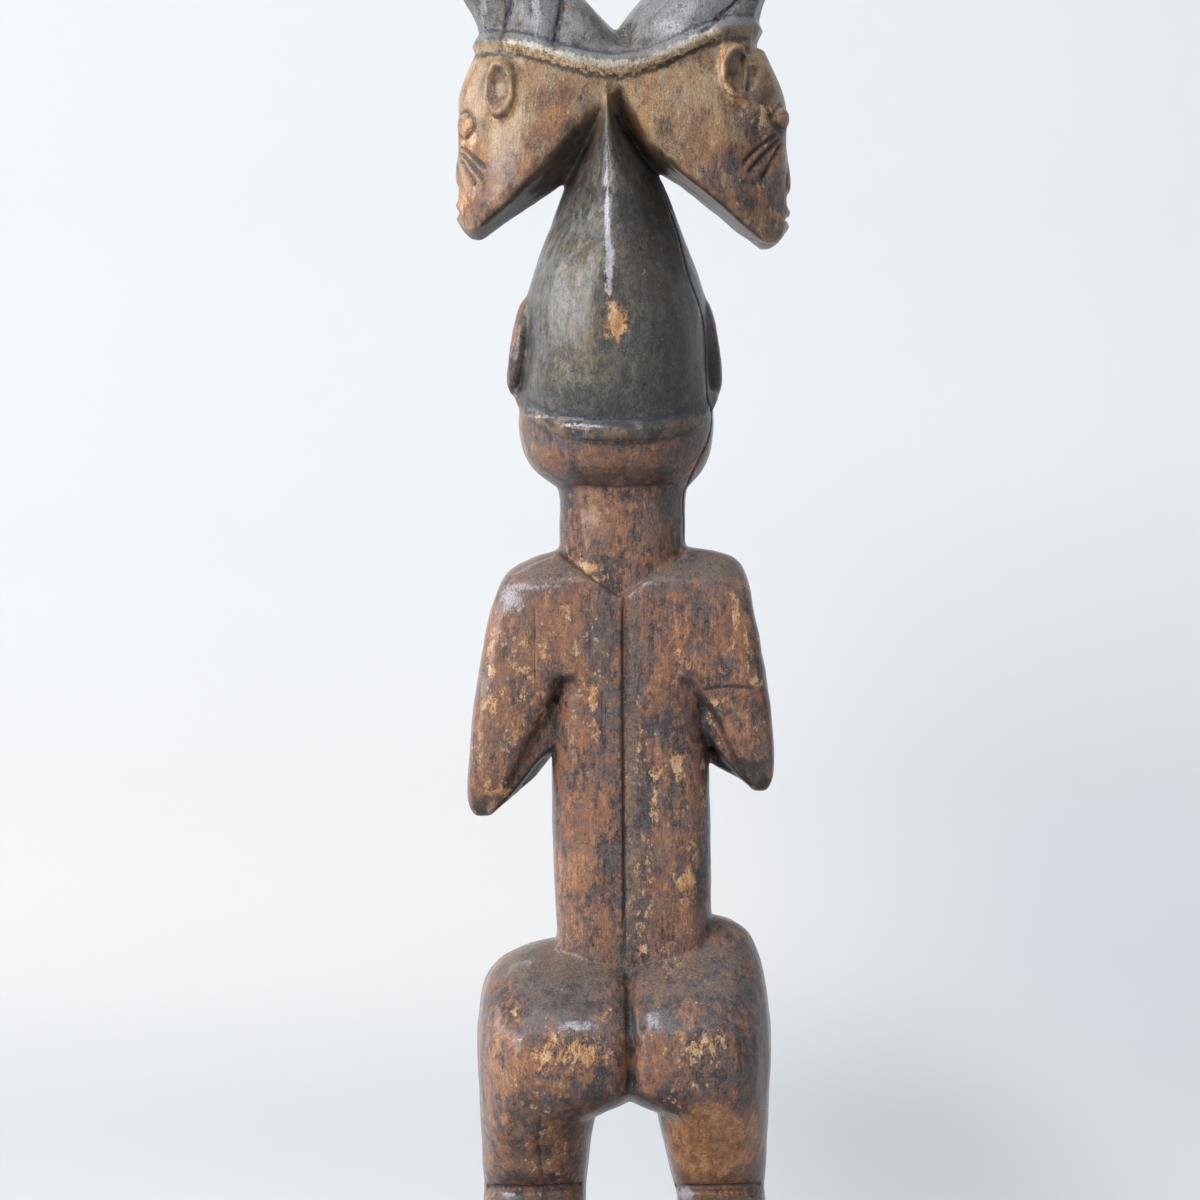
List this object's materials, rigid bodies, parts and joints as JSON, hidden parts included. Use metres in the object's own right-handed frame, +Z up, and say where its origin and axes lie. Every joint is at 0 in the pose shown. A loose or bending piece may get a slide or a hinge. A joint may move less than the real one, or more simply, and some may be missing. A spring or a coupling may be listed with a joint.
{
  "type": "carved dance staff figure",
  "caption": "Carved wooden staff figure of a standing woman holding her breasts, with back-to-back heads above her coiffure, on a low round base.",
  "frame": {"origin": "middle of the flat underside of the round base", "axes": "+Z up the figure, +Y the way the woman faces, so her back faces -Y; +X is to the right in the view of her back"},
  "size_m": [0.124, 0.124, 0.575],
  "materials": {
    "carved_wood": "worn, waxed and darkened by handling, with traces of indigo on the coiffures"
  },
  "bodies": {
    "root": {"carved_staff": "carved_wood"}
  },
  "joints": []
}
